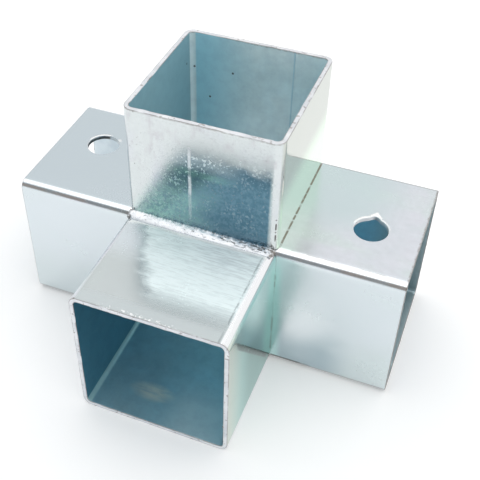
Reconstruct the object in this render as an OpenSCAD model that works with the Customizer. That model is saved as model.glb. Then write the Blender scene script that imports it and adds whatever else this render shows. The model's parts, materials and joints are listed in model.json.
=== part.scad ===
// Four-way connector for square tube: a straight run with one stub to the front and one up.
// Three lengths of seam-welded square tube, butted on the run's flat faces and welded where
// the rounded corners of the run leave a groove. The origin is where the three tube axes cross.
// X is along the run, -Y towards the front stub and +Z up the upright stub.

/* [Tube stock] */
// Outside width of the square tube
tube_w = 50; // [40:1:80]
// Wall thickness of the tube
wall = 1.5; // [1:0.1:2.5]
// Radius of the tube's bends on the inside
bend_r = 1.5; // [0.5:0.1:3]

/* [Arms] */
// How far each side arm stands out from the crossing
side_arm = 40; // [30:1:90]
// How far the front stub stands out from the run
front_arm = 40; // [20:1:90]
// How far the upright stub stands up from the run
up_arm = 40; // [20:1:90]

/* [Bolt holes] */
// Diameter of the hole in the top of each side arm
hole_d = 11; // [6:0.5:16]
// Distance from the hole's centre to the arm's open end
hole_from_end = 16; // [12:0.5:24]
// How far the hole's centre lies off the middle of the tube, to the front at +X and to the rear at -X
hole_off = 4; // [0:0.5:8]
// Width of the nick that the cut leaves in the rear edge of the hole at +X
nick_w = 2.6; // [1:0.1:4]
// Depth of that nick
nick_depth = 1.8; // [0.4:0.1:2.5]

/* [Seam inside the tube] */
// Radius of the seam's round bead
seam_r = 0.55; // [0.3:0.05:0.6]
// Height of the bead above the inside face of the wall
seam_h = 0.25; // [0.1:0.05:0.3]
// Distance from the seam to the middle of its wall
seam_off = 13; // [0:0.5:16]

/* [Welds] */
// Height of the valley weld up the front of the upright stub
toe_up = 1.6; // [1:0.1:3]
// Reach of the valley weld along the top of the front stub
toe_out = 3; // [1:0.1:4]
// Swell of the valley weld outside a straight line from toe to toe
valley_crown = 0.2; // [0.1:0.05:0.6]
// Swell of the rear weld outside the tube faces
rear_crown = 0.5; // [0.2:0.1:1]
// How far a groove weld laps onto the tube face at each side of its groove
lap = 0.8; // [0.4:0.1:1.5]

/* [Hidden] */
$fn = 64;
half_w = tube_w / 2;
inside_w = tube_w - 2 * wall;
corner_r = bend_r + wall;
run_l = tube_w + 2 * side_arm;
hole_x = half_w + side_arm - hole_from_end;
// Welds stop where the bends of the stubs begin to fall away from the groove.
weld_l = tube_w - corner_r;
crown_steps = 8;
zinc = [0.79, 0.83, 0.86];
zinc_dull = [0.70, 0.75, 0.79];
weld_white = [0.88, 0.90, 0.91];

// Square with true round corners.
module round_square(w, r) {
    square([w, w - 2 * r], center = true);
    square([w - 2 * r, w], center = true);
    for (x = [-1, 1], y = [-1, 1])
        translate([x, y] * (w / 2 - r)) circle(r = r);
}

// Section of the tube stock. Its seam lies inside the wall that seam_turn turns up.
module tube_section(seam_turn) {
    difference() {
        round_square(tube_w, corner_r);
        round_square(inside_w, bend_r);
    }
    rotate(seam_turn)
        translate([seam_off, inside_w / 2 + seam_r - seam_h]) circle(r = seam_r);
}

// Points of a shallow swell from a to b, as a parabola that stands out by rise on the right-hand side.
function swell(a, b, rise) =
    let (along = b - a, out = [along[1], -along[0]] / norm(along))
    [for (i = [0 : crown_steps])
        let (t = i / crown_steps) a + along * t + out * rise * 4 * t * (1 - t)];

// Places a weld section with its corner on a long edge of the run: x runs outwards, y upwards.
module along_run(length) {
    rotate([90, 0, 90]) linear_extrude(length, center = true) children();
}

// Round corner of the run and the flat side below it, which the weld metal lies on.
module run_bend() {
    translate([-1, -1] * corner_r) circle(r = corner_r);
    translate([-corner_r, -half_w]) square([corner_r, half_w - corner_r]);
}

// Valley between the upright's front, the front stub's top and the round corner of the run.
module valley_section() {
    difference() {
        polygon(concat(
            swell([toe_out, 0], [0, toe_up], valley_crown),
            [[-wall, 0], [-wall, -wall], [0, -wall]]));
        run_bend();
    }
}

// Groove between the end of a stub's wall and the round corner of the run.
module groove_section(crown) {
    difference() {
        polygon(concat(
            swell([0, -corner_r - lap * sign(crown)], [0, lap], crown),
            [[-wall, 0], [-wall, -wall]]));
        run_bend();
    }
}

module valley_weld_metal() {
    translate([0, -half_w, half_w]) mirror([0, 1, 0]) along_run(weld_l) valley_section();
}

module rear_weld_metal() {
    translate([0, half_w, half_w]) along_run(weld_l) groove_section(rear_crown);
}

// Ground flush, so that the connector sits flat on its underside.
module under_weld_metal() {
    translate([0, -half_w, -half_w]) rotate([90, 0, 0]) mirror([0, 1, 0])
        along_run(weld_l) groove_section(0);
}

// Bolt hole through the top wall of the side arm on the given side.
module bolt_hole(side) {
    translate([side * hole_x, -side * hole_off, half_w - 2 * wall])
        cylinder(d = hole_d, h = 3 * wall);
}

// The nick starts inside the hole, so that its mouth is as wide as it is named where it meets the rim.
module hole_nick() {
    translate([hole_x, -hole_off + hole_d / 2, half_w - 2 * wall]) linear_extrude(3 * wall)
        polygon([[-nick_w / 2, 0], [-nick_w / 2, -nick_w], [nick_w / 2, -nick_w], [nick_w / 2, 0],
            [0, nick_depth]]);
}

module run_tube() {
    color(zinc) difference() {
        rotate([90, 0, 90]) linear_extrude(run_l, center = true) tube_section(180);
        for (side = [-1, 1]) bolt_hole(side);
        hole_nick();
    }
}

module upright_stub() {
    color(zinc) difference() {
        translate([0, 0, half_w]) linear_extrude(up_arm) tube_section(0);
        valley_weld_metal();
        rear_weld_metal();
    }
}

module front_stub() {
    color(zinc_dull) difference() {
        translate([0, -half_w, 0]) rotate([90, 0, 0]) linear_extrude(front_arm) tube_section(-90);
        valley_weld_metal();
        under_weld_metal();
    }
}

module valley_weld() {
    color(weld_white) valley_weld_metal();
}

module rear_weld() {
    color(weld_white) rear_weld_metal();
}

module under_weld() {
    color(weld_white) under_weld_metal();
}

run_tube();
upright_stub();
front_stub();
valley_weld();
rear_weld();
under_weld();
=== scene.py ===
"""Welded four-way connector for square tube, in bright zinc plate.

The CAD frame gives three lengths of 50 mm tube and their welds. Each is built again here as a finished
piece of the same size, with sawn and burred ends, a ragged weld, and the plating's own look.
Lengths are in millimetres unless a name says otherwise, and are turned to metres in finish_piece.
"""
import json
import math

import bpy
from mathutils import Matrix, Vector, noise


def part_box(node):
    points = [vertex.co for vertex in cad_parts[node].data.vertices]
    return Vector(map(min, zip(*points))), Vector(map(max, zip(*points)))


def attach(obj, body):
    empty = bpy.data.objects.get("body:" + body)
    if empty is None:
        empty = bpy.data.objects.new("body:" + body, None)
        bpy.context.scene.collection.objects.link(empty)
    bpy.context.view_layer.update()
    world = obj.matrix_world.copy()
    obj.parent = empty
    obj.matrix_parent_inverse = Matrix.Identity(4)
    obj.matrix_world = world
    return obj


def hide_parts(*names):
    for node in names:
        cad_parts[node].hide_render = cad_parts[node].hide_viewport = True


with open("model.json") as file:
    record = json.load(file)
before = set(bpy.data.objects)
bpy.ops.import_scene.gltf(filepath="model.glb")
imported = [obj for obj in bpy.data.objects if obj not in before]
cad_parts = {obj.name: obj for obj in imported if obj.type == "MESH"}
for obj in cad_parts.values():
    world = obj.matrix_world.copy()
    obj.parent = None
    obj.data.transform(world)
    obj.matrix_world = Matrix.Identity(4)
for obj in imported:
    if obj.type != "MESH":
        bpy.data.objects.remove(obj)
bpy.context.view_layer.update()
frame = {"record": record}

MM = 0.001

# Camera: stands above and to the right of the front stub and looks down into both stubs' mouths.
# Its place and its slight roll were worked out from the straight edges of the tubes.
camera_azimuth = math.radians(21.64)
camera_elevation = math.radians(41.85)
camera_roll = math.radians(0.295)
camera_place_m = Vector((0.07715, -0.20755, 0.2053))
picture_px = 480
focal_px = 858.8
optical_axis_px = (215, 225)

back = Vector((
    math.sin(camera_azimuth) * math.cos(camera_elevation),
    -math.cos(camera_azimuth) * math.cos(camera_elevation),
    math.sin(camera_elevation)))
level_right = Vector((0, 0, 1)).cross(back).normalized()
level_up = back.cross(level_right)
right = level_right * math.cos(camera_roll) + level_up * math.sin(camera_roll)
up = level_up * math.cos(camera_roll) - level_right * math.sin(camera_roll)
lens = bpy.data.cameras.new("camera")
lens.lens = lens.sensor_width * focal_px / picture_px
lens.shift_x = (picture_px / 2 - optical_axis_px[0]) / picture_px
lens.shift_y = (optical_axis_px[1] - picture_px / 2) / picture_px
camera = bpy.data.objects.new("camera", lens)
camera.matrix_world = Matrix.Translation(camera_place_m) @ Matrix((right, up, back)).transposed().to_4x4()
bpy.context.scene.collection.objects.link(camera)
bpy.context.scene.camera = camera
bpy.context.scene.view_settings.view_transform = "Standard"

# Tube stock: cold-rolled, seam-welded square tube with round bends, the same for the run and both stubs.
# Each length is sawn square, so its ends have a burr on the inside and a slight one on the outside.
# tube_skin sweeps the section along a tube and leaves a window in the top wall round each bolt hole.
half_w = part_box("upright_stub")[1].x / MM
wall = 1.5
bend_r = 3.0
flat_half = half_w - bend_r
edge_r = 0.16
bend_steps = 8
edge_steps = 3
mesh_pitch = 1.0
seam_off = 13.0
seam_rise = 0.25
seam_w = 0.33
seam_lines = (-0.6, -0.35, -0.15, 0.15, 0.35, 0.6)
burr_height = 0.22
window_half = 9
face_kinds = ("outside", "end", "inside", "hole")


def evenly(start, end, pitch):
    """Values from start to end, about a pitch apart, with both ends in."""
    count = max(1, round(abs(end - start) / pitch))
    return [start + (end - start) * i / count for i in range(count + 1)]


def ragged(*place, size=1.0):
    """Smooth noise from -1 to 1 with features of about the given size."""
    return noise.noise(Vector(place) / size)


def section_loop(seam_side):
    """Points round the tube as (centre, outward direction, distance along its wall, wall number).
    A point of the section at distance r from the bend's centre line is centre + direction * r."""
    loop = []
    for side in range(4):
        turn = Matrix.Rotation(math.pi / 2 * side, 2)
        lines = evenly(flat_half, -flat_half, mesh_pitch)
        if side == seam_side:
            lines = sorted(lines + [seam_off + off for off in seam_lines], reverse=True)
        for along in lines:
            loop.append((turn @ Vector((along, flat_half)), turn @ Vector((0, 1)), along, side))
        for step in range(1, bend_steps):
            angle = math.pi / 2 * (1 + step / bend_steps)
            direction = Vector((math.cos(angle), math.sin(angle)))
            loop.append((turn @ Vector((-flat_half, flat_half)), turn @ direction, None, side))
    return loop


def wall_profile(start, end, stations):
    """The tube wall cut lengthwise, as (place along the tube, distance from the bend's centre, kind).
    It runs out along the outside, over the far end, back inside and over the near end."""
    inner_r = bend_r - wall
    middle = (bend_r + inner_r) / 2
    between = [w for w in stations if start + edge_r < w < end - edge_r]

    def rounded(w, r, from_angle, first, last):
        kinds = [first] + ["end"] * (edge_steps - 1) + [last]
        angles = [math.radians(from_angle - 90 * step / edge_steps) for step in range(edge_steps + 1)]
        return [(w + edge_r * math.cos(angle), r + edge_r * math.sin(angle), kind)
                for angle, kind in zip(angles, kinds)]

    profile = [(w, bend_r, "outside") for w in between]
    profile += rounded(end - edge_r, bend_r - edge_r, 90, "outside", "end")
    profile.append((end, middle, "end"))
    profile += rounded(end - edge_r, inner_r + edge_r, 0, "end", "inside")
    profile += [(w, inner_r, "inside") for w in reversed(between)]
    profile += rounded(start + edge_r, inner_r + edge_r, -90, "inside", "end")
    profile.append((start, middle, "end"))
    profile += rounded(start + edge_r, bend_r - edge_r, 180, "end", "outside")
    return profile


def finish_piece(name, points, faces, kinds, materials, slot, node):
    """Makes the mesh from millimetre points, gives each face the material of its kind, parents the piece
    to the root body and hides the CAD node it replaces. The materials come in the order of face_kinds."""
    used = sorted({n for face in faces for n in face})
    number = {n: i for i, n in enumerate(used)}
    corners = [[number[n] for n in face] for face in faces]
    mesh = bpy.data.meshes.new(name)
    mesh.from_pydata([Vector(points[n]) * MM for n in used], [], corners)
    for material in materials:
        mesh.materials.append(material)
    mesh.polygons.foreach_set("material_index", [face_kinds.index(kind) for kind in kinds])
    mesh.polygons.foreach_set("use_smooth", [True] * len(faces))
    mesh.update()
    piece = bpy.data.objects.new(name, mesh)
    bpy.context.scene.collection.objects.link(piece)
    weighted = piece.modifiers.new("even faces", "WEIGHTED_NORMAL")
    weighted.weight = 80
    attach(piece, "root")
    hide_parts(node)


def window_patch(points, faces, kinds, corner_at, centre, outline, levels):
    """Fills the square windows in the outside and inside of the top wall round a hole, and lines the hole.
    A level is (height, how far out from the rim, kind), or ("border", height, kind) for the window's own
    edge, where corner_at gives the sweep's points, so that nothing gapes."""
    steps = range(-window_half, window_half)
    border = [(centre[0] + x, centre[1] - window_half) for x in steps]
    border += [(centre[0] + window_half, centre[1] + y) for y in steps]
    border += [(centre[0] - x, centre[1] + window_half) for x in steps]
    border += [(centre[0] - window_half, centre[1] - y) for y in steps]
    rows = []
    for level, spread, kind in levels:
        if level == "border":
            rows.append(([corner_at(place, spread) for place in border], kind))
            continue
        ring = []
        for x, y in border:
            angle = math.atan2(y - centre[1], x - centre[0])
            rim = outline(angle)
            reach = math.hypot(x - centre[0], y - centre[1])
            if kind == "hole":
                radius = rim + edge_r * spread
            else:
                radius = rim + edge_r + (reach - rim - edge_r) * spread
            ring.append(len(points))
            points.append((
                centre[0] + radius * math.cos(angle), centre[1] + radius * math.sin(angle), level))
        rows.append((ring, kind))
    for (ring, _), (next_ring, kind) in zip(rows, rows[1:]):
        for i in range(len(border)):
            j = (i + 1) % len(border)
            faces.append((ring[i], ring[j], next_ring[j], next_ring[i]))
            kinds.append(kind)


def tube_skin(start, end, stations, seam_side, place, seed, windows=()):
    """Points, faces and face kinds of one length of tube. place turns (u, v, along) into the part's frame,
    seed sets how the burr wanders, and windows are the (centre, outline) pairs of the bolt holes."""
    loop = section_loop(seam_side)
    profile = wall_profile(start, end, stations)
    points = []
    faces = []
    kinds = []
    grid = []
    inner_half = bend_r - wall / 2
    sawn_start = start < 0
    for centre, direction, along, side in loop:
        row = []
        spot = centre + direction * bend_r
        burr = max(0.0, ragged(*spot, seed, size=2.2) + 0.35 * ragged(*spot, seed + 7, size=0.7))
        for w, r, kind in profile:
            if r < inner_half and side == seam_side and along is not None:
                bead = math.exp(-((along - seam_off) / seam_w) ** 2)
                r -= seam_rise * bead * (1 + 0.5 * ragged(w, seed, 0, size=1.5))
            if kind == "end" and r < inner_half and (w > 0 or sawn_start):
                w += math.copysign(burr_height * burr, w - (start + end) / 2)
            row.append(len(points))
            section = centre + direction * r
            points.append(place(section.x, section.y, w))
        grid.append(row)
    found = {tuple(round(x, 4) for x in p): n for n, p in enumerate(points)}

    def in_window(i, j):
        if not windows or loop[i][3] != 0 or loop[i][2] is None or profile[j][2] == "end":
            return False
        nearby = [points[grid[a % len(loop)][b % len(profile)]] for a in (i, i + 1) for b in (j, j + 1)]
        middle = sum((Vector(p) for p in nearby), Vector()) / 4
        return any(max(abs(middle.x - c[0]), abs(middle.y - c[1])) < window_half for c, _ in windows)

    for i in range(len(loop)):
        for j in range(len(profile)):
            if in_window(i, j):
                continue
            i2, j2 = (i + 1) % len(loop), (j + 1) % len(profile)
            faces.append((grid[i][j], grid[i2][j], grid[i2][j2], grid[i][j2]))
            pair = (profile[j][2], profile[j2][2])
            kinds.append("end" if "end" in pair else pair[0])
    top, under = half_w, half_w - wall
    for centre, outline in windows:
        def corner_at(spot, level):
            return found[(round(spot[0], 4), round(spot[1], 4), round(level, 4))]
        window_patch(points, faces, kinds, corner_at, centre, outline, (
            ("border", top, "outside"), (top, 0.45, "outside"), (top, 0.12, "outside"),
            (top, 0, "outside"), (top - edge_r * 0.3, 0.3, "hole"), (top - edge_r, 0, "hole"),
            ((top + under) / 2, 0, "hole"), (under + edge_r, 0, "hole"),
            (under + edge_r * 0.3, 0.3, "hole"), (under, 0, "inside"), (under, 0.12, "inside"),
            (under, 0.45, "inside"), ("border", under, "inside")))
    return points, faces, kinds


# Zinc plate: blue-white bright plate over cold-rolled steel, a few micrometres thick. It is cloudy, with
# faint tints, lines drawn along the tube, and small bright specks where the steel below is rough.
def node_group(name, inputs, outputs):
    """An empty shader group with named sockets. Each input is (name, kind, usual value)."""
    group = bpy.data.node_groups.new(name, "ShaderNodeTree")
    for label, kind, usual in inputs:
        socket = group.interface.new_socket(label, in_out="INPUT", socket_type=kind)
        if usual is not None:
            socket.default_value = usual
    for label, kind in outputs:
        group.interface.new_socket(label, in_out="OUTPUT", socket_type=kind)
    group.nodes.new("NodeGroupInput").name = "in"
    group.nodes.new("NodeGroupOutput").name = "out"
    return group


def feed(tree, socket, value):
    """Links a socket from another one, or sets it to a plain value."""
    if isinstance(value, bpy.types.NodeSocket):
        tree.links.new(value, socket)
    else:
        socket.default_value = value


def add(tree, kind, inputs=(), **settings):
    """A node with its settings and what feeds it: outputs of other nodes or plain values."""
    node = tree.nodes.new(kind)
    for setting, value in settings.items():
        setattr(node, setting, value)
    for socket, value in dict(inputs).items():
        feed(tree, node.inputs[socket], value)
    return node


def sums(tree, operation, *terms, clamp=False):
    """The output of a Math node."""
    return add(tree, "ShaderNodeMath", enumerate(terms), operation=operation, use_clamp=clamp).outputs[0]


def scaled(tree, value, by, plus, clamp=False):
    """value * by + plus."""
    return sums(tree, "MULTIPLY_ADD", value, by, plus, clamp=clamp)


def vectors(tree, operation, *terms, result="Vector"):
    """An output of a Vector Math node."""
    return add(tree, "ShaderNodeVectorMath", enumerate(terms), operation=operation).outputs[result]


def product(tree, *masks):
    """The product of masks and plain numbers."""
    whole = masks[0]
    for mask in masks[1:]:
        whole = sums(tree, "MULTIPLY", whole, mask)
    return whole


def highest(tree, *masks):
    """The highest of some masks at each point."""
    whole = masks[0]
    for mask in masks[1:]:
        whole = sums(tree, "MAXIMUM", whole, mask)
    return whole


def inverse(tree, mask):
    """1 where the mask is 0, and 0 where it is 1."""
    return sums(tree, "SUBTRACT", 1.0, mask)


def step_mask(tree, value, low, high):
    """0 below low, 1 above high and smooth between. With low above high it falls instead."""
    rising = low < high
    return add(tree, "ShaderNodeMapRange", {
        "Value": value, "From Min": min(low, high), "From Max": max(low, high),
        "To Min": 0.0 if rising else 1.0, "To Max": 1.0 if rising else 0.0},
        interpolation_type="SMOOTHSTEP").outputs["Result"]


def band_mask(tree, value, low, high, soft):
    """1 between low and high, with edges as wide as soft."""
    rise = step_mask(tree, value, low - soft, low)
    return product(tree, rise, step_mask(tree, value, high + soft, high))


def outer_wall(tree, value, soft, side=1):
    """1 on the outside of one of the tube's walls. value is the coordinate that the wall is square to."""
    return step_mask(tree, value, side * (half_w - 0.1 - soft), side * (half_w - 0.1))


def inner_wall(tree, value, side=1):
    """1 on the inside of one of the tube's walls."""
    inside = half_w - wall
    return step_mask(tree, value, side * (inside - 0.5), side * (inside - 0.1))


def stretch(tree, vector, scale, offset=(0, 0, 0)):
    """The coordinates scaled axis by axis and moved."""
    return add(tree, "ShaderNodeMapping", {
        "Vector": vector, "Scale": scale, "Location": offset}).outputs["Vector"]


def cloud(tree, vector, size, detail=2.0, rough=0.5, scale=(1, 1, 1), offset=(0, 0, 0)):
    """Noise from 0 to 1. Its features are about size millimetres across before the coordinates are
    scaled, and size is a number or a socket."""
    fineness = 1 / size if isinstance(size, float) else sums(tree, "DIVIDE", 1.0, size)
    return add(tree, "ShaderNodeTexNoise", {
        "Vector": stretch(tree, vector, scale, offset), "Scale": fineness, "Detail": detail,
        "Roughness": rough}).outputs["Fac"]


def blend_colours(tree, factor, first, second, how="MIX"):
    """Two colours, sockets or plain values, mixed by a factor."""
    inputs = {"Factor": factor}
    for label, colour in (("A", first), ("B", second)):
        inputs[label] = (*colour, 1) if isinstance(colour, tuple) else colour
    return add(tree, "ShaderNodeMix", inputs, data_type="RGBA", blend_type=how).outputs["Result"]


def axis_parts(tree, spot):
    """The x, y and z coordinates apart."""
    return add(tree, "ShaderNodeSeparateXYZ", {"Vector": spot}).outputs


def vector_of(tree, x, y, z):
    """One vector made of its three parts."""
    return add(tree, "ShaderNodeCombineXYZ", {"X": x, "Y": y, "Z": z}).outputs["Vector"]


def distance_to(tree, spot, place):
    """How far each point is from a place."""
    return vectors(tree, "DISTANCE", spot, place, result="Value")


tube_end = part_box("upright_stub")[1].z / MM
far = 1000.0
scorch_and_burr_shadow_tint = (0.26, 0.23, 0.20)
plate_group = node_group("zinc plate", (
    ("Along Tube", "NodeSocketVector", None),
    ("Main Tint", "NodeSocketColor", (0.6, 0.6, 0.6, 1)),
    ("Second Tint", "NodeSocketColor", (0.6, 0.6, 0.6, 1)),
    ("Third Tint", "NodeSocketColor", (0.6, 0.6, 0.6, 1)),
    ("Cloud Size", "NodeSocketFloat", 14.0),
    ("Smoothest", "NodeSocketFloat", 0.17),
    ("Roughest", "NodeSocketFloat", 0.3),
    ("Specks", "NodeSocketFloat", 0.5),
    ("Burnt Edge", "NodeSocketFloat", 0.5)), (
    ("Color", "NodeSocketColor"),
    ("Roughness", "NodeSocketFloat"),
    ("Height", "NodeSocketFloat"),
    ("Specks", "NodeSocketFloat"),
    ("Wall Edge", "NodeSocketFloat")))


def fill_plate_group(tree):
    """The plate's tints, roughness and relief. Heights are in millimetres. Taking far from the length
    leaves only how far a point is from the centre line of its bend."""
    given = tree.nodes["in"].outputs
    spot = given["Along Tube"]
    broad = cloud(tree, spot, given["Cloud Size"], detail=3.0)
    other = cloud(tree, spot, given["Cloud Size"], scale=(1, 1, 0.6), offset=(41, 17, 5), detail=4.0)
    mottle = cloud(tree, spot, 2.4, offset=(3, 71, 9), detail=4.0, rough=0.65)
    drawn = cloud(tree, spot, 0.8, scale=(1, 1, 0.03), detail=2.0)
    second = step_mask(tree, broad, 0.35, 0.62)
    colour = blend_colours(tree, second, given["Main Tint"], given["Second Tint"])
    colour = blend_colours(tree, step_mask(tree, other, 0.48, 0.7), colour, given["Third Tint"])
    shade = product(tree, scaled(tree, mottle, 0.16, 0.92), scaled(tree, drawn, 0.05, 0.975))
    colour = blend_colours(tree, 1.0, colour, vector_of(tree, shade, shade, shade), how="MULTIPLY")
    over = vectors(tree, "ABSOLUTE", spot)
    past = axis_parts(tree, over)["Z"]
    burns = cloud(tree, spot, 1.6, offset=(13, 9, 0), detail=4.0, rough=0.7)
    burns = scaled(tree, step_mask(tree, burns, 0.46, 0.58), 0.7, 0.3)
    # Brown scorch along the sawn rims, partly a painted burr shadow under the rim's edge.
    rim = step_mask(tree, past, tube_end - 0.7, tube_end - 0.35)
    scorch_and_burr_shadow = product(tree, rim, burns, given["Burnt Edge"])
    colour = blend_colours(tree, scorch_and_burr_shadow, colour, scorch_and_burr_shadow_tint)
    corner = vectors(tree, "SUBTRACT", over, (flat_half, flat_half, far))
    corner = vectors(tree, "MAXIMUM", corner, (0, 0, 0))
    across = vectors(tree, "LENGTH", corner, result="Value")
    wall_edge = highest(
        tree, step_mask(tree, across, bend_r - 0.3, bend_r - 0.1),
        step_mask(tree, across, bend_r - wall + 0.3, bend_r - wall + 0.1))
    grains = cloud(tree, spot, 0.85, scale=(1, 1, 0.9), offset=(11, 3, 29), detail=3.0, rough=0.65)
    herds = cloud(tree, spot, 7.0, offset=(90, 2, 55), detail=2.0)
    level = scaled(tree, sums(tree, "SUBTRACT", herds, 0.5), 0.3, grains)
    specks = sums(tree, "MULTIPLY", step_mask(tree, level, 0.56, 0.68), given["Specks"], clamp=True)
    rough = add(tree, "ShaderNodeMapRange", {
        "Value": scaled(tree, mottle, 0.35, product(tree, other, 0.65)), "From Min": 0.3, "From Max": 0.7,
        "To Min": given["Smoothest"], "To Max": given["Roughest"]}).outputs["Result"]
    rough = scaled(tree, specks, 0.3, rough)
    waves = cloud(tree, spot, 22.0, scale=(1, 1, 0.7), offset=(7, 33, 2), detail=1.0)
    height = product(tree, waves, 0.12)
    for relief, depth in ((mottle, 0.004), (drawn, 0.0015), (specks, 0.03)):
        height = scaled(tree, relief, depth, height)
    for label, value in (("Color", colour), ("Roughness", rough), ("Height", height), ("Specks", specks),
                         ("Wall Edge", wall_edge)):
        feed(tree, tree.nodes["out"].inputs[label], value)


fill_plate_group(plate_group)


def start_material(name):
    """A new metal material with its Principled shader and the part's own coordinates in millimetres."""
    material = bpy.data.materials.new(name)
    material.use_nodes = True
    tree = material.node_tree
    shader = tree.nodes["Principled BSDF"]
    place = add(tree, "ShaderNodeTexCoord").outputs["Object"]
    return material, tree, shader, stretch(tree, place, (1 / MM,) * 3)


def turned(tree, spot, along):
    """The coordinates with the tube's own length as Z."""
    x, y, z = axis_parts(tree, spot)
    return vector_of(tree, *{"X": (y, z, x), "Y": (x, z, y), "Z": (x, y, z)}[along])


def plate(tree, spot, along, tints, cloud_size, smoothest, roughest, specks, burnt_and_shaded_edge=0.5):
    """The zinc plate group, set for one surface. specks is a number or a mask."""
    return add(tree, "ShaderNodeGroup", {
        "Along Tube": turned(tree, spot, along),
        "Main Tint": (*tints[0], 1), "Second Tint": (*tints[1], 1), "Third Tint": (*tints[2], 1),
        "Cloud Size": cloud_size, "Smoothest": smoothest, "Roughest": roughest, "Specks": specks,
        "Burnt Edge": burnt_and_shaded_edge}, node_tree=plate_group).outputs


def join_shader(tree, shader, colour, roughness, height, metallic=1.0):
    """Feeds the Principled shader. Height is in millimetres, and metallic is a number or a mask."""
    bump = add(tree, "ShaderNodeBump", {"Height": height, "Strength": 1.0, "Distance": MM})
    for label, value in (("Base Color", colour), ("Roughness", roughness), ("Metallic", metallic),
                         ("Normal", bump.outputs["Normal"])):
        feed(tree, shader.inputs[label], value)


plate_tints = ((0.66, 0.70, 0.74), (0.70, 0.72, 0.77), (0.64, 0.72, 0.71))
sawn_tints = ((0.80, 0.81, 0.84), (0.70, 0.72, 0.75), (0.86, 0.87, 0.88))
haze_tint = (0.66, 0.70, 0.76)
pit_tint = (0.06, 0.07, 0.08)
dirt_tint = (0.20, 0.16, 0.13)
worn_edge_tint = (0.24, 0.21, 0.20)


def bore_material(name, tint, metallic, regions, pits=()):
    """Inside of a tube: thin, duller plate with a blue-green cast, since little current reaches it. Each
    region is a tint and what makes its mask from the coordinates. Pits are bare black spots."""
    material, tree, shader, spot = start_material(name)
    deeper = (0.88 * tint[0], 0.88 * tint[1], 0.88 * tint[2])
    greyer = (0.97 * tint[0], 0.93 * tint[1], 0.92 * tint[2])
    out = plate(tree, spot, "Z", (tint, deeper, greyer),
                cloud_size=15.0, smoothest=0.3, roughest=0.42, specks=0.2)
    x, y, z = axis_parts(tree, spot)
    colour = out["Color"]
    for region_tint, region in regions:
        colour = blend_colours(tree, region(tree, x, y, z), colour, region_tint)
    mottle = cloud(tree, spot, 4.0, offset=(6, 1, 8), detail=5.0, rough=0.65)
    haze = product(tree, step_mask(tree, mottle, 0.4, 0.66), 0.26)
    colour = blend_colours(tree, haze, colour, haze_tint, how="MULTIPLY")
    for place in pits:
        pit = step_mask(tree, distance_to(tree, spot, place), 0.5, 0.25)
        colour = blend_colours(tree, pit, colour, pit_tint)
    join_shader(tree, shader, colour, out["Roughness"], out["Height"], metallic=metallic)
    return material


def sawn_material(name, tints, along):
    """Sawn end: plated over saw lines, with burr specks and brown-grey lines left along both edges."""
    material, tree, shader, spot = start_material(name)
    out = plate(tree, spot, along, tints,
                cloud_size=6.0, smoothest=0.25, roughest=0.4, specks=0.3, burnt_and_shaded_edge=0.0)
    lines = cloud(tree, spot, 0.5, offset=(2, 8, 1), detail=2.0)
    dirt = step_mask(tree, cloud(tree, spot, 1.3, offset=(15, 5, 75), detail=3.0), 0.6, 0.68)
    worn = cloud(tree, spot, 6.0, offset=(5, 5, 5), detail=3.0)
    worn = product(tree, out["Wall Edge"], step_mask(tree, worn, 0.3, 0.55))
    colour = blend_colours(tree, product(tree, dirt, 0.55), out["Color"], dirt_tint)
    colour = blend_colours(tree, product(tree, worn, 0.7), colour, worn_edge_tint)
    height = scaled(tree, lines, 0.02, out["Height"])
    join_shader(tree, shader, colour, out["Roughness"], height, metallic=0.75)
    return material


# Run: the straight length, 130 mm, with a bolt hole through the top of each side arm. The right-hand
# hole has a nick in its rear edge, where the cut came in, with a lip of metal beyond it; the lips'
# brightness is a painted highlight.
run_low, run_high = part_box("run_tube")
mounts = {mount["name"]: mount for mount in frame["record"]["mounts"]}
left_hole, right_hole = (
    tuple(round(place / MM) for place in mounts[name]["pos_m"][:2]) for name in ("hole_left", "hole_right"))
hole_r = mounts["hole_right"]["dims"]["r_mm"]
left_tint = (0.55, 0.62, 0.66)
high_tint = (0.72, 0.78, 0.81)
low_tint = (0.68, 0.75, 0.76)
junction_shade_tint = (0.38, 0.49, 0.54)
corner_shade_tint = (0.56, 0.80, 0.78)
foot_shade_tint = (0.57, 0.68, 0.69)
milky_tint = (0.93, 0.95, 0.98)
milky_centre = (31.0, -25.0, -2.0)
rub_and_reflection_tint = (0.40, 0.32, 0.28)
rub_and_reflection_heights = (23.5, 24.1)
run_bend_highlight_tint = (0.93, 0.95, 0.96)
run_bend_highlight_heights = (24.35, 24.85)
under_shade_tint = (0.30, 0.29, 0.27)
burnt_tint = (0.26, 0.22, 0.18)
nick_half_angle = math.radians(20)
nick_depth = 1.1
lip_w = 0.6
lip_highlight_tint = (0.97, 0.98, 0.97)
crease_tint = (0.30, 0.31, 0.31)
lower_bend_shade_tint = (0.06, 0.07, 0.07)
smooth_wall_tint = (0.54, 0.60, 0.63)
shaded_wall_tint = (0.10, 0.09, 0.08)
wall_shade_heights = (25.3, 24.9)
dull_end_tints = ((0.28, 0.28, 0.27), (0.22, 0.22, 0.21), (0.36, 0.36, 0.34))
between_pitch = 3


def plain_rim(angle):
    """Radius of the left hole."""
    return hole_r


def nicked_rim(angle):
    """Radius of the right hole, with the nick at its rear."""
    off = abs(angle - math.pi / 2) / nick_half_angle
    return hole_r + nick_depth * max(0.0, 1 - off ** 1.5)


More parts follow.
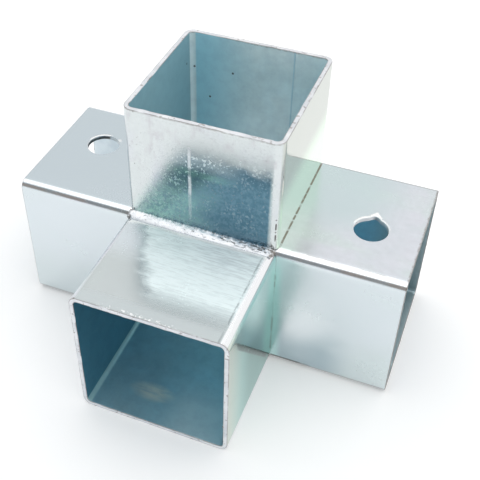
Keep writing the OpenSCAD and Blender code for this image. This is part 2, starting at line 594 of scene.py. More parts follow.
def hole_lip_highlights(tree, spot, x, y, z):
    """Painted highlights on the lips thrown up behind both holes, widest to the left of the nick and behind
    it.
    """
    lips = []
    for hole, ends in ((left_hole, (0.7, -0.4)), (right_hole, (9.5, -2.0))):
        away = distance_to(tree, spot, (*hole, half_w))
        lips.append(product(
            tree, band_mask(tree, away, hole_r - 0.2, hole_r + lip_w, 0.3),
            step_mask(tree, y, hole[1] + 0.5, hole[1] + 2.5),
            step_mask(tree, x, hole[0] + ends[0], hole[0] + ends[1])))
    burr = distance_to(tree, spot, (left_hole[0] + 4.1, left_hole[1] + 4.2, half_w))
    burr = product(tree, step_mask(tree, burr, 1.3, 0.3), 0.6)
    nick_x, nick_y = right_hole[0], right_hole[1] + hole_r
    beside = sums(tree, "ABSOLUTE", sums(tree, "SUBTRACT", x, nick_x))
    behind = sums(tree, "ABSOLUTE", sums(tree, "SUBTRACT", y, nick_y + 1.0))
    nick = step_mask(tree, scaled(tree, beside, 1.15, behind), 2.7, 2.0)
    wide = distance_to(tree, spot, (nick_x + 0.4, right_hole[1] - 0.2, half_w))
    wide = product(
        tree, step_mask(tree, wide, hole_r + 1.6, hole_r + 0.9), step_mask(tree, x, nick_x, nick_x - 1.0),
        step_mask(tree, y, nick_y - 5.0, nick_y - 2.0))
    return product(tree, highest(tree, *lips, burr, nick, wide), outer_wall(tree, z, 0.1))


def hole_wall_material():
    """Wall of a bolt hole: bright at the top, with painted shade below, most on the left."""
    material, tree, shader, spot = start_material("hole wall")
    out = plate(tree, spot, "Z", sawn_tints, cloud_size=6.0, smoothest=0.25, roughest=0.4, specks=0.3)
    x, y, z = axis_parts(tree, spot)
    # Painted shade: the lower part of the wall darkened, most in the left hole.
    wall_shade = cloud(tree, spot, 1.5, scale=(1, 1, 0.4), offset=(4, 4, 4), detail=2.0)
    wall_shade = step_mask(tree, scaled(tree, wall_shade, 0.8, z), *wall_shade_heights)
    wall_shade = product(tree, wall_shade, scaled(tree, step_mask(tree, x, 10.0, -10.0), 0.75, 0.15))
    smooth = band_mask(tree, x, -48.8, -40.0, 0.8)
    wall_shade = product(tree, wall_shade, inverse(tree, smooth))
    colour = blend_colours(tree, smooth, out["Color"], smooth_wall_tint)
    colour = blend_colours(tree, wall_shade, colour, shaded_wall_tint)
    join_shader(tree, shader, colour, out["Roughness"], out["Height"], metallic=0.4)
    return material


def run_material():
    """Plate on the run: duller on the left arm's top, with painted shade in the corner beside the front
    stub, low on the right arm's front and on the right arm's top beside the upright, a painted highlight
    and a painted dark reflection with brown wear along the front bend, painted shade along the lower front
    bend, and burnt lines at the feet of the stubs."""
    material, tree, shader, spot = start_material("run plate")
    out = plate(tree, spot, "X", plate_tints, cloud_size=16.0, smoothest=0.17, roughest=0.3, specks=0.06)
    x, y, z = axis_parts(tree, spot)
    left = product(tree, step_mask(tree, x, -10.0, -30.0), outer_wall(tree, z, 0.9))
    colour = blend_colours(tree, left, out["Color"], left_tint)
    front = outer_wall(tree, y, 0.3, side=-1)
    patch = cloud(tree, spot, 22.0, scale=(1, 1, 1.6), offset=(6, 2, 3), detail=2.0)
    low = step_mask(tree, scaled(tree, patch, 22.0, z), 14.0, -4.0)
    arms = blend_colours(tree, low, high_tint, low_tint)
    # Painted shade low on the right arm's front beside the front stub.
    dull = step_mask(tree, scaled(tree, patch, 20.0, z), 12.0, -4.0)
    dull = product(tree, dull, band_mask(tree, x, 27.0, 42.0, 12.0), 0.8)
    arms = blend_colours(tree, dull, arms, junction_shade_tint)
    # Painted shade: a darker, greener strip on the right arm's front in the corner beside the front stub.
    spread = sums(tree, "SUBTRACT", x, step_mask(tree, z, 14.0, -10.0))
    corner = product(tree, band_mask(tree, spread, 24.0, 25.2, 3.0), step_mask(tree, z, 26.0, 14.0))
    arms = blend_colours(tree, corner, arms, corner_shade_tint)
    colour = blend_colours(tree, product(tree, front, 0.85), colour, arms)
    # Painted shade on the right arm's top beside the upright's foot.
    foot_shade = product(
        tree, step_mask(tree, x, 62.0, 40.0), step_mask(tree, x, 20.0, 24.0),
        step_mask(tree, y, -16.0, 4.0), outer_wall(tree, z, 0.9), 0.8)
    colour = blend_colours(tree, foot_shade, colour, foot_shade_tint)
    milky = scaled(tree, patch, 14.0, distance_to(tree, spot, milky_centre))
    milky = product(tree, front, step_mask(tree, x, 26.0, 31.0), step_mask(tree, milky, 26.0, 8.0))
    colour = blend_colours(tree, milky, colour, milky_tint)
    # Painted dark reflection with a brown-grey wear tint, where the front bend mirrors the dim gap.
    rub_and_dark_reflection = product(tree, band_mask(tree, z, *rub_and_reflection_heights, 0.2), step_mask(tree, y, -22.0, -23.0))
    uneven = cloud(tree, spot, 8.0, scale=(1, 0.2, 0.2), offset=(2, 2, 2), detail=3.0)
    rub_and_dark_reflection = product(tree, rub_and_dark_reflection, scaled(tree, step_mask(tree, uneven, 0.38, 0.6), 0.35, 0.65))
    colour = blend_colours(tree, product(tree, rub_and_dark_reflection, 0.85), colour, rub_and_reflection_tint)
    rear = product(
        tree, step_mask(tree, y, 22.5, 22.9), step_mask(tree, z, 21.0, 22.5),
        step_mask(tree, x, 20.0, 30.0))
    crease = cloud(tree, spot, 1.0, scale=(0.25, 1, 1), offset=(1, 2, 9), detail=3.0)
    crease = product(
        tree, step_mask(tree, crease, 0.4, 0.55), band_mask(tree, y, -22.75, -22.35, 0.15),
        step_mask(tree, z, 24.0, 24.6), step_mask(tree, x, 22.0, 27.0))
    lines = highest(tree, product(tree, rear, 0.75), product(tree, crease, 0.6))
    colour = blend_colours(tree, lines, colour, crease_tint)
    # Painted shade: a broken dark line on the lower front bend beside the front stub, which also shows
    # mirrored in the stub's side.
    lower_bend_shade = cloud(tree, spot, 3.0, offset=(3, 3, 3), detail=3.0)
    lower_bend_shade = product(
        tree, step_mask(tree, lower_bend_shade, 0.3, 0.45), step_mask(tree, z, -22.2, -22.8),
        step_mask(tree, y, -22.6, -23.2), band_mask(tree, x, 25.0, 37.0, 3.0))
    colour = blend_colours(tree, lower_bend_shade, colour, lower_bend_shade_tint)
    # Painted shade along the lower front bend, where it meets the floor.
    below_shade = product(tree, step_mask(tree, z, -22.6, -23.4), step_mask(tree, y, -23.0, -23.8))
    colour = blend_colours(tree, product(tree, below_shade, 0.7), colour, under_shade_tint)
    burnt = step_mask(tree, cloud(tree, spot, 2.5, offset=(7, 5, 2), detail=4.0, rough=0.7), 0.36, 0.5)
    foot = band_mask(tree, sums(tree, "ABSOLUTE", x), half_w - 0.5, half_w + 0.25, 0.2)
    broken = step_mask(tree, cloud(tree, spot, 7.0, offset=(8, 2, 2), detail=3.0), 0.46, 0.56)
    faint = product(tree, front, broken, step_mask(tree, z, 22.0, 18.0), 0.4)
    burnt = product(tree, burnt, foot, highest(tree, outer_wall(tree, z, 0.2), faint))
    colour = blend_colours(tree, product(tree, burnt, 0.85), colour, burnt_tint)
    # Painted highlight along the upper part of the front bend.
    run_bend_highlight = product(tree, band_mask(tree, z, *run_bend_highlight_heights, 0.2), step_mask(tree, y, -22.0, -23.0))
    colour = blend_colours(tree, product(tree, run_bend_highlight, 0.8), colour, run_bend_highlight_tint)
    # Painted highlight on the lips behind the holes, over a slight bump.
    lip_highlight = hole_lip_highlights(tree, spot, x, y, z)
    colour = blend_colours(tree, lip_highlight, colour, lip_highlight_tint)
    worn = highest(tree, product(tree, rub_and_dark_reflection, 0.6), product(tree, lip_highlight, 0.7))
    height = scaled(tree, lip_highlight, 0.12, out["Height"])
    join_shader(tree, shader, colour, out["Roughness"], height, inverse(tree, worn))
    return material


def left_mouth_light(tree, x, y, z):
    """The last part of the left arm, painted as bright inside as outside: painted light from the open end.
    """
    return step_mask(tree, x, -38.0, -52.0)


def right_mouth(tree, x, y, z):
    """The last part of the right arm, where the plate inside is grey."""
    return step_mask(tree, x, 44.0, 56.0)


def run_stations():
    """Places along the run: a millimetre apart as far as the holes and round them, and wider between."""
    borders = [run_low.x / MM]
    for hole in (left_hole, right_hole):
        borders += [hole[0] - window_half, hole[0] + window_half]
    borders.append(run_high.x / MM)
    places = set()
    for start, end, pitch in zip(borders, borders[1:], (mesh_pitch, 1, between_pitch, 1, mesh_pitch)):
        places.update(round(place, 6) for place in evenly(start, end, pitch))
    return sorted(places)


dull_end = sawn_material("dull sawn end", dull_end_tints, "X")
run_bore = bore_material("run bore", (0.50, 0.86, 1.0), 0.85, [
    ((0.78, 0.86, 0.90), left_mouth_light), ((0.42, 0.52, 0.54), right_mouth)])
skin = tube_skin(
    run_low.x / MM, run_high.x / MM, run_stations(), seam_side=2, place=lambda u, v, w: (w, u, v),
    seed=1.0, windows=[(left_hole, plain_rim), (right_hole, nicked_rim)])
finish_piece("run_tube_plated", *skin, (run_material(), dull_end, run_bore, hole_wall_material()),
             "plated_tube", "run_tube")

# Upright stub: 40 mm of the same tube standing on the run, sawn square. Its seam is at the right of its
# rear wall. Its front was splashed and wiped while it was welded, so it has small bright specks and
# dark ones.
up_low, up_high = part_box("upright_stub")
streak_x = -3.5
streak_ends = (28.0, 57.0)
front_tint = (0.70, 0.74, 0.745)
smudge_tint = (0.56, 0.55, 0.58)
side_reflection_tint = (0.57, 0.60, 0.55)
side_low_reflection_tint = (0.81, 0.99, 0.81)
bore_pits = ((-8.4, 23.5, 52.3), (-16.6, 23.5, 41.3), (-23.5, 20.0, 54.6), (-22.2, 23.4, 52.0))
streak_tint = (0.92, 0.95, 0.97)
splash_tint = (0.80, 0.86, 0.90)
fleck_tint = (0.10, 0.09, 0.09)
reflection_lean = 0.615
reflection_start = -42.2
reflection_tint_left = (0.40, 0.64, 0.60)
reflection_tint_right = (0.10, 0.22, 0.30)
reflection_high_tint = (0.86, 0.97, 1.0)
reflection_green_tint = (0.42, 0.72, 0.62)
reflection_grain_tint = (0.20, 0.33, 0.42)


def upright_material():
    """Plate on the upright: its front carries a painted dark reflection in blue and green above the front
    stub and is splashed with bright specks, with a pale run of plate down it and dark flecks near both of
    its edges. Its right side is painted with reflections, grey-green above and pale green below."""
    material, tree, shader, spot = start_material("upright plate")
    x, y, z = axis_parts(tree, spot)
    blotch = cloud(tree, spot, 7.0, scale=(0.8, 1, 1.6), offset=(13, 31, 7), detail=3.0)
    front = outer_wall(tree, y, 0.4, side=-1)
    # Painted reflection: a dark blue-green patch on the front above the front stub, leaning to the right,
    # with a paler part high on the left, a green band and grey-blue grain.
    reach = scaled(tree, blotch, 10.0, scaled(tree, x, 0.05, z))
    beside = sums(tree, "SUBTRACT", x, scaled(tree, z, reflection_lean, reflection_start))
    dark_reflection = product(
        tree, step_mask(tree, reach, 61.5, 56.0), step_mask(tree, beside, -1.0, 8.0),
        step_mask(tree, x, 22.4, 21.4), front)
    splashed = product(tree, step_mask(tree, z, 57.0, 54.0), step_mask(tree, beside, -2.0, 8.0), front)
    high = step_mask(tree, z, 47.0, 52.0)
    specks = scaled(tree, splashed, scaled(tree, high, 0.15, 0.45), 0.15)
    out = plate(tree, spot, "Z", (front_tint, front_tint, plate_tints[1]),
                cloud_size=16.0, smoothest=0.15, roughest=0.26, specks=specks)
    smudge = cloud(tree, spot, 4.0, scale=(1, 1, 0.7), offset=(5, 5, 5), detail=4.0, rough=0.6)
    smudge = product(tree, step_mask(tree, smudge, 0.5, 0.68), step_mask(tree, z, 40.0, 50.0), front)
    colour = blend_colours(tree, product(tree, smudge, 0.5), out["Color"], smudge_tint)
    # Painted reflection on the right side: grey-green above, pale green lower down.
    side = outer_wall(tree, x, 0.9)
    side_reflections = blend_colours(tree, step_mask(tree, z, 50.0, 38.0), side_reflection_tint, side_low_reflection_tint)
    colour = blend_colours(tree, side, colour, side_reflections)
    across = step_mask(tree, scaled(tree, blotch, 14.0, x), -8.0, 16.0)
    reflection_tint = blend_colours(tree, across, reflection_tint_left, reflection_tint_right)
    grain = cloud(tree, spot, 1.6, offset=(3, 9, 3), detail=3.0, rough=0.6)
    high_left = product(tree, high, step_mask(tree, x, 16.0, 0.0))
    reflection_tint = blend_colours(tree, high_left, reflection_tint, reflection_high_tint)
    green = highest(
        tree, band_mask(tree, scaled(tree, blotch, 2.0, z), 47.8, 48.8, 1.4),
        product(tree, step_mask(tree, x, -10.0, -17.0), step_mask(tree, z, 44.0, 38.0)))
    green = product(tree, green, step_mask(tree, x, 14.0, 0.0), 0.6)
    reflection_tint = blend_colours(tree, green, reflection_tint, reflection_green_tint)
    grain = product(tree, step_mask(tree, grain, 0.42, 0.62), scaled(tree, high, -0.35, 0.6))
    reflection_tint = blend_colours(tree, grain, reflection_tint, reflection_grain_tint)
    colour = blend_colours(tree, product(tree, dark_reflection, 0.95), colour, reflection_tint)
    wander = cloud(tree, spot, 5.0, scale=(0, 0, 1))
    off = sums(tree, "SUBTRACT", x, scaled(tree, wander, 0.5, streak_x - 0.25))
    off = sums(tree, "ABSOLUTE", off)
    thick = highest(tree, step_mask(tree, z, 48.0, 50.0), band_mask(tree, z, 40.0, 45.0, 2.0))
    streak = product(
        tree, step_mask(tree, off, 0.75, 0.25), front, scaled(tree, thick, 0.5, 0.3),
        band_mask(tree, z, streak_ends[0] + 4, streak_ends[1] - 3, 4.0))
    colour = blend_colours(tree, streak, colour, streak_tint)
    colour = blend_colours(tree, product(tree, out["Specks"], 0.35), colour, splash_tint)
    dots = cloud(tree, spot, 0.6, scale=(1, 1, 0.6), offset=(8, 3, 61), detail=2.0)
    left_edge = product(
        tree, step_mask(tree, x, -17.5, -20.5), step_mask(tree, z, 40.0, 46.0), front,
        step_mask(tree, dots, 0.68, 0.76))
    dashes = cloud(tree, spot, 0.9, scale=(0, 0, 1), offset=(3, 3, 12), detail=1.0)
    right_edge = product(
        tree, band_mask(tree, x, 23.85, 24.05, 0.15), step_mask(tree, y, -20.0, -23.0),
        band_mask(tree, z, 30.0, 38.0, 3.0), step_mask(tree, dashes, 0.46, 0.52))
    flecks = highest(tree, left_edge, right_edge)
    colour = blend_colours(tree, flecks, colour, fleck_tint)
    pale = highest(tree, product(tree, streak, 0.9), product(tree, out["Specks"], 0.35))
    pale = scaled(tree, product(tree, dark_reflection, high), 0.12, pale, clamp=True)
    rough = product(tree, out["Roughness"], scaled(tree, side, -0.6, 1.0))
    join_shader(tree, shader, colour, rough, out["Height"], inverse(tree, pale))
    return material


def upright_left_shade(tree, x, y, z):
    """The left wall up to its bend, darkened inside with painted shade."""
    return product(tree, step_mask(tree, x, -15.0, -22.0), step_mask(tree, y, 22.6, 22.2))


def upright_shade(tree, x, y, z):
    """The left part of the rear wall, which is bluer."""
    return product(
        tree, step_mask(tree, x, -21.9, -21.4), step_mask(tree, x, 2.0, -20.0), inner_wall(tree, y))


def upright_right(tree, x, y, z):
    """The right wall, which is greyer."""
    return inner_wall(tree, x)


def upright_seam_shade(tree, x, y, z):
    """Painted shade: a darker line along the left foot of the inside seam."""
    return product(tree, band_mask(tree, x, 12.4, 12.6, 0.3), step_mask(tree, y, 22.5, 23.0))


skin = tube_skin(
    up_low.z / MM, up_high.z / MM, evenly(up_low.z / MM, up_high.z / MM, mesh_pitch), seam_side=0,
    place=lambda u, v, w: (u, v, w), seed=2.0)
upright_rim = sawn_material("upright rim", sawn_tints, "Z")
upright_bore = bore_material("upright bore", (0.84, 0.99, 1.0), 0.2, [
    ((0.28, 0.48, 0.54), upright_left_shade), ((0.46, 0.78, 0.88), upright_shade),
    ((0.73, 0.88, 0.92), upright_right), ((0.58, 0.78, 0.84), upright_seam_shade)], bore_pits)
finish_piece("upright_stub_plated", *skin, (upright_material(), upright_rim, upright_bore),
             "plated_tube", "upright_stub")

# Front stub: 40 mm of the same tube, laid level against the run. Its seam is low in its right wall.
# The weld on its top was dressed with a coarse wheel, which left a patch of cross lines, lightened
# with painted sheen.
front_low, front_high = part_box("front_stub")
patch_start = (-22.0, -25.0)
patch_lean = 0.52
wheel_sheen_tint = (0.90, 1.0, 1.0)
cheek_reflection_tint = (0.40, 0.64, 0.60)
cheek_low_reflection_tint = (0.64, 0.68, 0.60)
cheek_foot_shade_tint = (0.23, 0.44, 0.41)
top_tint = (0.55, 0.60, 0.60)
weld_end_tint = (0.70, 0.75, 0.78)
stub_bend_highlight_tint = (0.95, 0.96, 0.97)
scratch_tint = (0.28, 0.32, 0.33)
toe_highlight_tint = (0.97, 0.99, 0.98)
crumb_tint = (0.96, 0.97, 0.97)
reflected_edge_slope = 1.245
reflected_edge_height = -55.0
reflected_edge_tint = (0.10, 0.17, 0.17)


def front_material():
    """Plate on the front stub: on its top, the patch of wheel marks lightened with painted sheen, a painted
    highlight on the dressed toe of the weld and crumbs of plate at the mouth; a painted highlight on its
    right top bend; and a side painted with reflection and shade that darkens towards the run, with a
    painted reflection of the run's lower bend slanting down it as a dark line."""
    material, tree, shader, spot = start_material("front stub plate")
    out = plate(tree, spot, "Y", plate_tints,
                cloud_size=16.0, smoothest=0.17, roughest=0.3, specks=0.06, burnt_and_shaded_edge=1.2)
    x, y, z = axis_parts(tree, spot)
    slant = scaled(tree, sums(tree, "SUBTRACT", patch_start[1], y), patch_lean, patch_start[0])
    uneven = cloud(tree, spot, 3.0, scale=(0.4, 1, 1), detail=3.0, rough=0.6)
    depth = sums(tree, "SUBTRACT", scaled(tree, uneven, 9.0, x), sums(tree, "ADD", slant, 4.5))
    top = outer_wall(tree, z, 0.1)
    wheel = product(tree, step_mask(tree, depth, -2.0, 5.0), step_mask(tree, y, -61.0, -50.0), top)
    lines = cloud(tree, spot, 0.4, scale=(0.09, 1, 1), offset=(4, 9, 0), detail=3.0, rough=0.6)
    streaks = step_mask(tree, lines, 0.35, 0.62)
    bright = step_mask(tree, y, -32.0, -46.0)
    # Painted sheen: the wheel patch is lightened towards white over its real cross lines.
    light = scaled(tree, streaks, 0.2, scaled(tree, bright, 0.1, 0.78))
    light = sums(tree, "MULTIPLY", wheel, light, clamp=True)
    # Painted highlight along the ground lower toe of the weld.
    dressed_toe_highlight = product(tree, step_mask(tree, scaled(tree, uneven, 3.0, y), -28.4, -26.8), top)
    mouth_end = product(tree, step_mask(tree, y, -59.0, -62.0), top, 0.85)
    weld_end = product(tree, step_mask(tree, y, -48.0, -36.0), top, inverse(tree, wheel))
    # Painted reflection on the right side, darker towards the run, with painted shade low near the run.
    cheek = blend_colours(tree, step_mask(tree, y, -66.0, -51.0), cheek_low_reflection_tint, cheek_reflection_tint)
    foot_shade = product(tree, step_mask(tree, y, -58.0, -44.0), step_mask(tree, z, 16.0, 0.0))
    cheek = blend_colours(tree, foot_shade, cheek, cheek_foot_shade_tint)
    # Painted reflection: a broken dark line slanting down the side, where the run's lower bend is mirrored.
    off_reflected_edge = sums(tree, "ABSOLUTE", scaled(tree, y, reflected_edge_slope, sums(tree, "SUBTRACT", z, reflected_edge_height)))
    gaps = cloud(tree, spot, 2.6, offset=(6, 6, 6), detail=4.0, rough=0.7)
    reflected_edge = product(
        tree, step_mask(tree, off_reflected_edge, 1.9, 0.8), step_mask(tree, gaps, 0.32, 0.5),
        band_mask(tree, y, -58.0, -30.0, 1.5), 0.85)
    cheek = blend_colours(tree, reflected_edge, cheek, reflected_edge_tint)
    colour = blend_colours(tree, product(tree, top, 0.85), out["Color"], top_tint)
    colour = blend_colours(tree, weld_end, colour, weld_end_tint)
    side = outer_wall(tree, x, 0.9)
    colour = blend_colours(tree, side, colour, cheek)
    colour = blend_colours(tree, light, colour, wheel_sheen_tint)
    # Painted highlight along the right top bend.
    stub_bend_highlight = product(tree, band_mask(tree, x, 22.4, 24.2, 0.3), step_mask(tree, z, 21.0, 22.5))
    colour = blend_colours(tree, product(tree, stub_bend_highlight, 0.85), colour, stub_bend_highlight_tint)
    scratch = cloud(tree, spot, 1.2, scale=(1, 0.3, 1), offset=(2, 2, 2), detail=3.0, rough=0.7)
    scratch = product(
        tree, band_mask(tree, x, 21.5, 21.8, 0.25), top, step_mask(tree, scratch, 0.4, 0.55), 0.6)
    colour = blend_colours(tree, scratch, colour, scratch_tint)
    height = scaled(tree, product(tree, wheel, lines), 0.02, out["Height"])
    colour = blend_colours(tree, dressed_toe_highlight, colour, toe_highlight_tint)
    crumbs = cloud(tree, spot, 1.3, offset=(5, 5, 5), detail=3.0, rough=0.6)
    crumbs = product(
        tree, step_mask(tree, crumbs, 0.5, 0.58), step_mask(tree, y, -63.2, -64.2),
        band_mask(tree, x, -13.0, 6.0, 4.0), top)
    colour = blend_colours(tree, crumbs, colour, crumb_tint)
    height = scaled(tree, crumbs, 0.1, height)
    dull = highest(tree, product(tree, light, 0.92), dressed_toe_highlight, mouth_end, product(tree, weld_end, 0.8))
    rough = product(tree, out["Roughness"], scaled(tree, side, -0.6, 1.0))
    join_shader(tree, shader, colour, rough, height, inverse(tree, dull))
    return material


def front_left_shade(tree, x, y, z):
    """The left wall inside, darkened with painted shade."""
    return product(tree, step_mask(tree, x, -18.0, -23.0), step_mask(tree, z, -23.2, -22.6))


def front_bend_highlight(tree, x, y, z):
    """The bend between the left wall and the floor, lightened with a painted highlight."""
    return product(tree, step_mask(tree, x, -22.0, -22.5), step_mask(tree, z, -22.0, -22.5))


def floor_right(tree, x, y, z):
    """The right half of the floor near the mouth, which is paler."""
    return product(
        tree, step_mask(tree, x, -2.0, 10.0), step_mask(tree, y, -42.0, -56.0),
        inner_wall(tree, z, side=-1))


def floor_reflection(tree, x, y, z):
    """A faint painted reflection, in streaks, on the floor near the mouth."""
    away_x = sums(tree, "DIVIDE", sums(tree, "ADD", x, 5.5), 7.0)
    away_y = sums(tree, "DIVIDE", sums(tree, "ADD", y, 54.0), 3.2)
    away = sums(tree, "ADD", product(tree, away_x, away_x), product(tree, away_y, away_y))
    streaks = cloud(tree, vector_of(tree, x, y, z), 1.2, scale=(0.2, 1, 1), detail=3.0)
    streaks = scaled(tree, step_mask(tree, streaks, 0.3, 0.7), 0.5, 0.5)
    return product(tree, step_mask(tree, away, 1.7, 0.0), streaks, inner_wall(tree, z, side=-1))


front_start, front_end = -front_high.y / MM, -front_low.y / MM
skin = tube_skin(
    front_start, front_end, evenly(front_start, front_end, mesh_pitch), seam_side=3,
    place=lambda u, v, w: (u, -w, v), seed=3.0)
front_rim = sawn_material("front stub rim", sawn_tints, "Y")
front_bore = bore_material("front stub bore", (0.47, 0.76, 0.85), 0.75, [
    ((0.12, 0.33, 0.44), front_left_shade), ((0.60, 0.84, 0.84), front_bend_highlight), ((0.68, 0.90, 0.95), floor_right),
    ((0.92, 1.0, 0.92), floor_reflection)])
finish_piece("front_stub_plated", *skin, (front_material(), front_rim, front_bore),
             "plated_tube", "front_stub")

# Valley weld: one MAG bead along the corner of the upright and the front stub, down on the run's bend.
# Its lower half was ground smooth, and the upper toe left as welded, with pits and a crater at the right.
bead_pitch = 0.2
bead_half = 23.5
bead_knot = 1.5
bead_past = bead_knot * 0.85
bend_middle_in = 0.88
section_step = 1 / 14
toe_out = 3.0
toe_up = (1.7, 0.9)
valley_crown = 0.2
crown_direction = (-0.47, 0.88)
weld_dark_tint = (0.13, 0.11, 0.09)


def finish_weld(name, section, ends, pitch, node, reverse=True):
    """Sweeps a weld along the run, from one end to the other, and makes a piece of it. section(x) gives
    its outline as (y, z) points, and reverse is for one that runs the other way round."""
    rings = [[(x, y, z) for y, z in section(x)] for x in evenly(-ends, ends, pitch)]
    count = len(rings[0])
    points = [point for ring in rings for point in ring]
    faces = [tuple(reversed(range(count))), tuple(range(len(points) - count, len(points)))]
    for i in range(len(rings) - 1):
        for j in range(count):
            k = (j + 1) % count
            faces.append((i * count + j, i * count + k, (i + 1) * count + k, (i + 1) * count + j))
    if reverse:
        faces = [face[::-1] for face in faces]
    finish_piece(name, points, faces, ["outside"] * len(faces), (plated_weld,), "plated_weld", node)


def knot_size(x, half):
    """1 along the bead, falling round to a blunt end beyond it."""
    beyond = max(0.0, abs(x) - half) / bead_knot
    return math.sqrt(max(0.04, 1 - beyond ** 2))


def valley_section(x):
    """Ragged upper toe, smooth lower toe, and a hidden back that fills the corner down to the bend."""
    size = knot_size(x, bead_half)
    share = (x + bead_half) / (2 * bead_half)
    up = toe_up[0] + (toe_up[1] - toe_up[0]) * min(1, max(0, share))
    up = (up + 0.2 * ragged(x, 0, 4, size=2.6)) * size
    jag = (0.2 * ragged(x, 0, 7, size=1.2) + 0.25 * ragged(x, 3, 8, size=0.5)) * size
    out = (toe_out + 0.12 * ragged(x, 9, 2, size=6.0)) * size
    outline = []
    for t in evenly(0, 1, section_step):
        lump = (0.08 + 0.16 * share) * ragged(x * 0.4, t * 3, 1, size=0.5)
        lump *= max(0.0, 1 - t / 0.55) * min(1, t / 0.1)
        rise = (valley_crown * 4 * t * (1 - t) + lump) * size
        height = up * (1 - t) + jag * (1 - t) ** 8 + rise * crown_direction[1] - 0.03 * t ** 8
        outline.append((-half_w - out * t + rise * crown_direction[0], half_w + height))
    back_y, back_z = -half_w + bend_middle_in, half_w - bend_middle_in
    return outline + [
        (-half_w - out + 0.03, half_w - 0.06), (-half_w - out * 0.5, half_w - 0.1),
        (back_y - 0.6, back_z - 0.3), (back_y, back_z), (-half_w + 0.1, half_w + up * 0.6),
        (-half_w + 0.03, half_w + up + jag - 0.03)]


def weld_material():
    """Plated weld metal: pale, rougher than the tube, with dark pits along its upper toe."""
    material, tree, shader, spot = start_material("plated weld")
    out = plate(tree, spot, "X", sawn_tints, cloud_size=5.0, smoothest=0.2, roughest=0.34, specks=0.5)
    x, y, z = axis_parts(tree, spot)
    pits = cloud(tree, spot, 0.5, scale=(0.35, 1, 1), offset=(21, 4, 6), detail=3.0, rough=0.6)
    more = product(tree, step_mask(tree, x, -10.0, 20.0), 0.13)
    near_toe = step_mask(tree, z, half_w + 0.15, half_w + 0.7)
    pits = product(tree, step_mask(tree, sums(tree, "ADD", pits, more), 0.66, 0.72), near_toe)
    crater = step_mask(tree, sums(tree, "ABSOLUTE", x), 22.6, 23.6)
    brown = cloud(tree, spot, 1.2, offset=(1, 2, 3), detail=2.0)
    dark = highest(tree, pits, product(tree, crater, step_mask(tree, brown, 0.4, 0.55)))
    colour = blend_colours(tree, product(tree, dark, 0.85), out["Color"], weld_dark_tint)
    height = scaled(tree, dark, -0.1, out["Height"])
    join_shader(tree, shader, colour, out["Roughness"], height, metallic=0.7)
    return material


plated_weld = weld_material()
finish_weld("valley_weld_bead", valley_section, bead_half + bead_past, bead_pitch, "valley_weld",
            reverse=False)

# Rear weld: a bead left as welded, in the groove between the upright's rear wall and the run's bend.
# Its ripples follow the puddle as it moved along.
rear_half = 22.2
rear_lap = 0.8
rear_crown = 0.42
ripple_pitch = 1.9


def rear_section(x):
    """A rippled crown, with a hidden back that follows the run's bend."""
    size = knot_size(x, rear_half)
    top = half_w + (rear_lap + 0.2 * ragged(x, 5, 2, size=2.4)) * size
    foot = half_w - bend_r - (rear_lap + 0.2 * ragged(x, 1, 7, size=1.4)) * size
    outline = []
    for t in evenly(0, 1, section_step):
        lag = 2.2 * (2 * t - 1) ** 2 + 0.5 * ragged(x, t, 9, size=3)
        wave = math.sin((x + lag) * math.tau / ripple_pitch)
        swell = rear_crown * (4 * t * (1 - t)) ** 0.6 * (1 + 0.2 * wave) * size
        outline.append((half_w + swell - 0.03, top + (foot - top) * t))
    return outline + [
        (half_w - 0.05, half_w - bend_r), (half_w - bend_middle_in, half_w - bend_middle_in),
        (half_w - 0.1, half_w + 0.2)]


finish_weld("rear_weld_bead", rear_section, rear_half + bead_past, bead_pitch, "rear_weld")

# Under weld: the bead between the front stub's bottom wall and the run's bend, ground flush so that the
# connector sits flat.
under_proud = 0.03
under_past = 1.0
under_pitch = 0.5


def under_section(x):
    """Flat face, level with the underside, with a hidden back."""
    size = knot_size(x, bead_half)
    far_y = -half_w - (rear_lap + 0.1 * ragged(x, 3, 3, size=2)) * size
    near_y = -half_w + bend_r * size
    face_z = -half_w - under_proud
    return [(near_y, face_z), (far_y, face_z), (far_y, -half_w + 0.1), (-half_w + 0.1, -half_w + 0.4),
            (-half_w + bend_middle_in, -half_w + bend_middle_in), (near_y, -half_w + 0.05)]


finish_weld("under_weld_ground", under_section, bead_half + under_past, under_pitch, "under_weld")

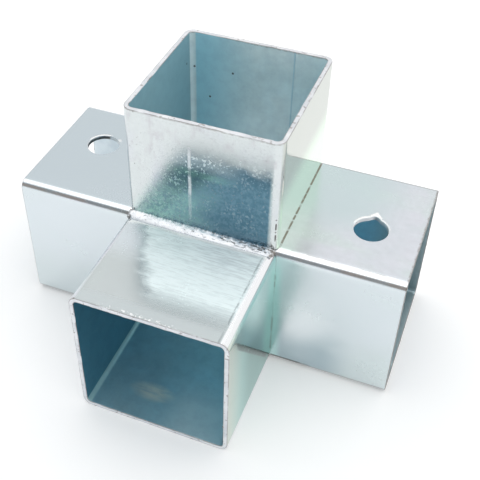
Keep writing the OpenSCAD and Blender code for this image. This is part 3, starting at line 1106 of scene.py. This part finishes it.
# Studio: a white cloth table in a white tent. A dim gap in the tent, at the front left and half way up,
# gives the dark patch on the upright and the dark line along each bend.
gap_towards = (-0.41, -0.91, 0.0)
gap_colour = (0.12, 0.23, 0.29)
tent_colour = (1.0, 1.0, 1.0)
overhead_colour = (1.65, 1.65, 1.65)
backdrop_colour = (1.0, 1.0, 1.0)
cloth_colour = (0.8, 0.8, 0.8)
cloth_glow = 0.25
cloth_below = 0.05
cloth_reach_m = 3.0


def tent_world():
    """White all round, brighter overhead, with the dim gap. The camera itself sees plain white."""
    world = bpy.data.worlds.new("tent")
    world.use_nodes = True
    bpy.context.scene.world = world
    tree = world.node_tree
    towards = add(tree, "ShaderNodeTexCoord").outputs["Generated"]
    height = axis_parts(tree, towards)["Z"]
    facing = vectors(tree, "DOT_PRODUCT", towards, gap_towards, result="Value")
    gap = product(
        tree, step_mask(tree, height, 0.08, 0.34), step_mask(tree, height, 0.80, 0.66),
        step_mask(tree, facing, 0.30, 0.62))
    light = blend_colours(tree, step_mask(tree, height, 0.74, 0.92), tent_colour, overhead_colour)
    light = blend_colours(tree, gap, light, gap_colour)
    seen = add(tree, "ShaderNodeLightPath").outputs["Is Camera Ray"]
    light = blend_colours(tree, seen, light, backdrop_colour)
    feed(tree, tree.nodes["Background"].inputs["Color"], light)


def cloth_floor():
    """A wide level cloth under the connector. It glows a little to the camera and in the metal, so that
    it looks white there and still shows the connector's shadow."""
    mesh = bpy.data.meshes.new("cloth_floor")
    level = (-half_w - cloth_below) * MM
    square = ((-1, -1), (1, -1), (1, 1), (-1, 1))
    corners = [(x * cloth_reach_m, y * cloth_reach_m, level) for x, y in square]
    mesh.from_pydata(corners, [], [(0, 1, 2, 3)])
    material = bpy.data.materials.new("white cloth")
    material.use_nodes = True
    tree = material.node_tree
    path = add(tree, "ShaderNodeLightPath").outputs
    seen = highest(tree, path["Is Camera Ray"], path["Is Glossy Ray"])
    look = {
        "Base Color": (*cloth_colour, 1), "Roughness": 1.0, "Specular IOR Level": 0.0,
        "Emission Color": (1, 1, 1, 1), "Emission Strength": product(tree, seen, cloth_glow)}
    for label, value in look.items():
        feed(tree, tree.nodes["Principled BSDF"].inputs[label], value)
    mesh.materials.append(material)
    floor = bpy.data.objects.new("cloth_floor", mesh)
    bpy.context.scene.collection.objects.link(floor)


tent_world()
cloth_floor()
